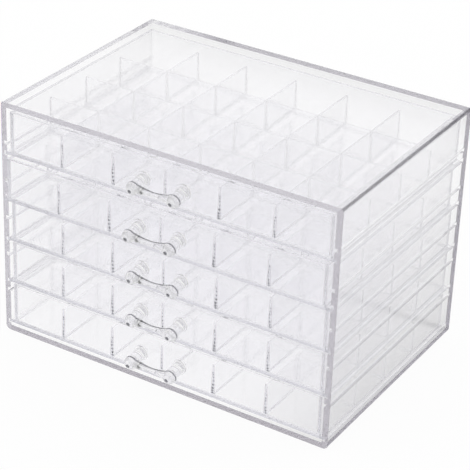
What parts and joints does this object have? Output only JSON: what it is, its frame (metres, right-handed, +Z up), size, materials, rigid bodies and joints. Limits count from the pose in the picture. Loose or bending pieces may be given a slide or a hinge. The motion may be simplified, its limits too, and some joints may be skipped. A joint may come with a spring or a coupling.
{
  "type": "nail art storage box",
  "caption": "Clear plastic storage box: an open-fronted case with grooved side walls and stacked sliding drawers, each divided into small open cells and pulled by a clear bow handle.",
  "frame": {"origin": "middle of the case's flat underside", "axes": "+Z up, +X to the right along the width as seen from the front, and the drawers open towards -Y"},
  "size_m": [0.236, 0.1785, 0.16],
  "materials": {
    "case_plastic": "clear, polished",
    "tray_plastic": "clear, polished",
    "handle_plastic": "clear, polished"
  },
  "bodies": {
    "case": {"case": "case_plastic"},
    "drawer_1": {"drawer_1_tray": "tray_plastic", "drawer_1_column_dividers": "tray_plastic", "drawer_1_row_dividers": "tray_plastic", "drawer_1_handle": "handle_plastic"},
    "drawer_2": {"drawer_2_tray": "tray_plastic", "drawer_2_column_dividers": "tray_plastic", "drawer_2_row_dividers": "tray_plastic", "drawer_2_handle": "handle_plastic"},
    "drawer_3": {"drawer_3_tray": "tray_plastic", "drawer_3_column_dividers": "tray_plastic", "drawer_3_row_dividers": "tray_plastic", "drawer_3_handle": "handle_plastic"},
    "drawer_4": {"drawer_4_tray": "tray_plastic", "drawer_4_column_dividers": "tray_plastic", "drawer_4_row_dividers": "tray_plastic", "drawer_4_handle": "handle_plastic"},
    "drawer_5": {"drawer_5_tray": "tray_plastic", "drawer_5_column_dividers": "tray_plastic", "drawer_5_row_dividers": "tray_plastic", "drawer_5_handle": "handle_plastic"}
  },
  "joints": [
    {"name": "drawer_1_slide", "type": "slide", "parent": "case", "child": "drawer_1", "axis": [0, -1, 0], "range_m": [-0.003, 0.13]},
    {"name": "drawer_2_slide", "type": "slide", "parent": "case", "child": "drawer_2", "axis": [0, -1, 0], "range_m": [-0.0068, 0.1262]},
    {"name": "drawer_3_slide", "type": "slide", "parent": "case", "child": "drawer_3", "axis": [0, -1, 0], "range_m": [-0.003, 0.13]},
    {"name": "drawer_4_slide", "type": "slide", "parent": "case", "child": "drawer_4", "axis": [0, -1, 0], "range_m": [-0.003, 0.13]},
    {"name": "drawer_5_slide", "type": "slide", "parent": "case", "child": "drawer_5", "axis": [0, -1, 0], "range_m": [-0.003, 0.13]}
  ]
}
